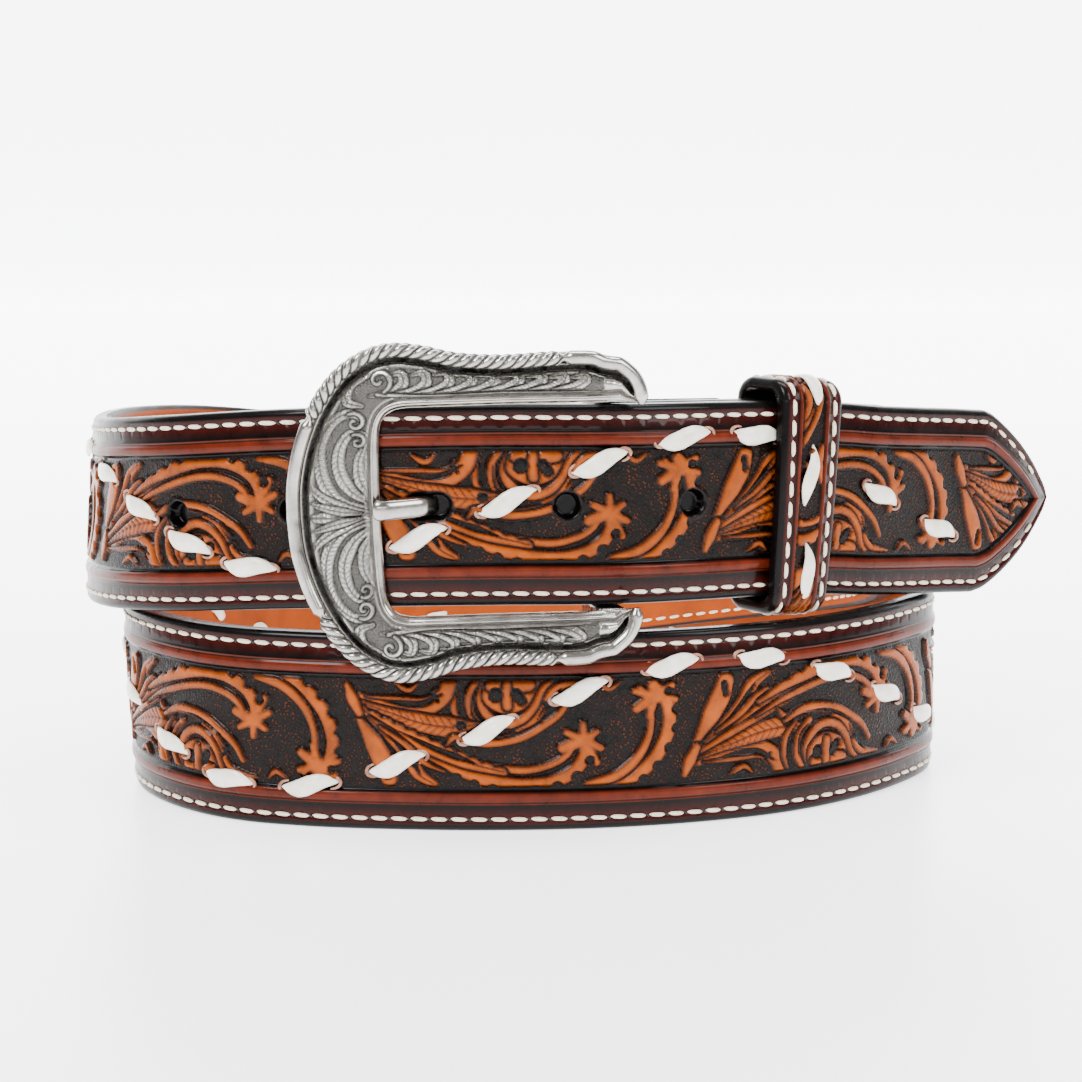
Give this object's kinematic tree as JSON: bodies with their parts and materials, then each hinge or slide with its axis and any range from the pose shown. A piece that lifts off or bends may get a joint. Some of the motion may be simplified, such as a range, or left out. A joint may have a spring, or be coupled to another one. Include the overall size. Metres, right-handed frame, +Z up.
{
  "type": "western tooled belt",
  "caption": "Tooled leather western belt, buckled and coiled on its edge, with a rope-edged buckle, keeper and lining.",
  "frame": {"origin": "middle of the footprint of the coiled belt, on the surface that it stands on", "axes": "+Z up out of the coil, -Y towards the buckle's face, +X towards the side where the tip points"},
  "size_m": [0.2048, 0.1728, 0.0937],
  "materials": {
    "tooled_leather": "tooled, antiqued and waxed, with a soft gloss",
    "lining_leather": "smooth tan, satin",
    "buckle_metal": "antique silver plate, dark in the recesses",
    "lace": "smooth off-white lace",
    "thread": "waxed cream thread"
  },
  "bodies": {
    "root": {"tooled_strap": "tooled_leather", "strap_lining": "lining_leather", "keeper_loop": "tooled_leather", "buckle_frame": "buckle_metal", "buckle_prong": "buckle_metal"}
  },
  "joints": []
}
